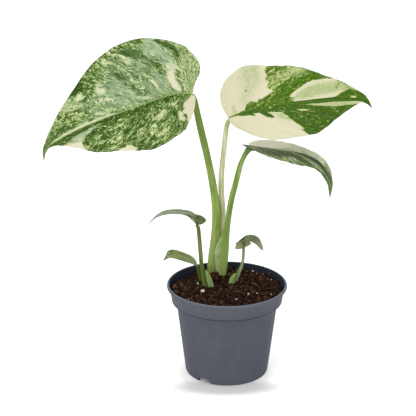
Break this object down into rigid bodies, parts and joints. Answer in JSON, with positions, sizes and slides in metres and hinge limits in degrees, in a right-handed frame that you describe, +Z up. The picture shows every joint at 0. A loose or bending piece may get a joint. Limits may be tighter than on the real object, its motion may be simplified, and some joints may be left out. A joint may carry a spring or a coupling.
{
  "type": "potted monstera",
  "caption": "Young variegated monstera with green and cream mottled leaves on tall stalks, planted in compost in a plain slate-grey nursery pot.",
  "frame": {"origin": "on the ground under the middle of the plant's bounding box; the pot's axis stands 19.0 mm towards +X and 7.4 mm towards -Y from it", "axes": "+Z up, -Y towards the front of the plant, +X to the right of a viewer in front"},
  "size_m": [0.3167, 0.1348, 0.3319],
  "materials": {
    "pot_plastic": "satin",
    "compost": "matte",
    "leaf_mottled": "satin",
    "leaf_cream": "satin",
    "leaf_green": "satin",
    "petiole_green": "satin",
    "petiole_cream": "satin",
    "sheath": "satin",
    "bark": "matte",
    "perlite": "matte"
  },
  "bodies": {
    "root": {"pot": "pot_plastic", "compost": "compost", "left_large_leaf": "leaf_mottled", "cream_leaf": "leaf_cream", "drooping_leaf": "leaf_green", "left_upper_leaf": "leaf_green", "left_lower_leaf": "leaf_green", "right_small_leaf": "leaf_green", "left_large_petiole": "petiole_green", "cream_petiole": "petiole_cream", "drooping_petiole": "petiole_green", "left_upper_petiole": "petiole_green", "left_lower_petiole": "petiole_green", "right_small_petiole": "petiole_green", "left_sheath": "sheath", "right_sheath": "sheath", "bark_chip": "bark", "perlite_grain_1": "perlite", "perlite_grain_2": "perlite", "perlite_grain_3": "perlite", "perlite_grain_4": "perlite", "perlite_grain_5": "perlite", "perlite_grain_6": "perlite", "perlite_grain_7": "perlite", "perlite_grain_8": "perlite", "perlite_grain_9": "perlite", "perlite_grain_10": "perlite", "perlite_grain_11": "perlite", "perlite_grain_12": "perlite"}
  },
  "joints": []
}
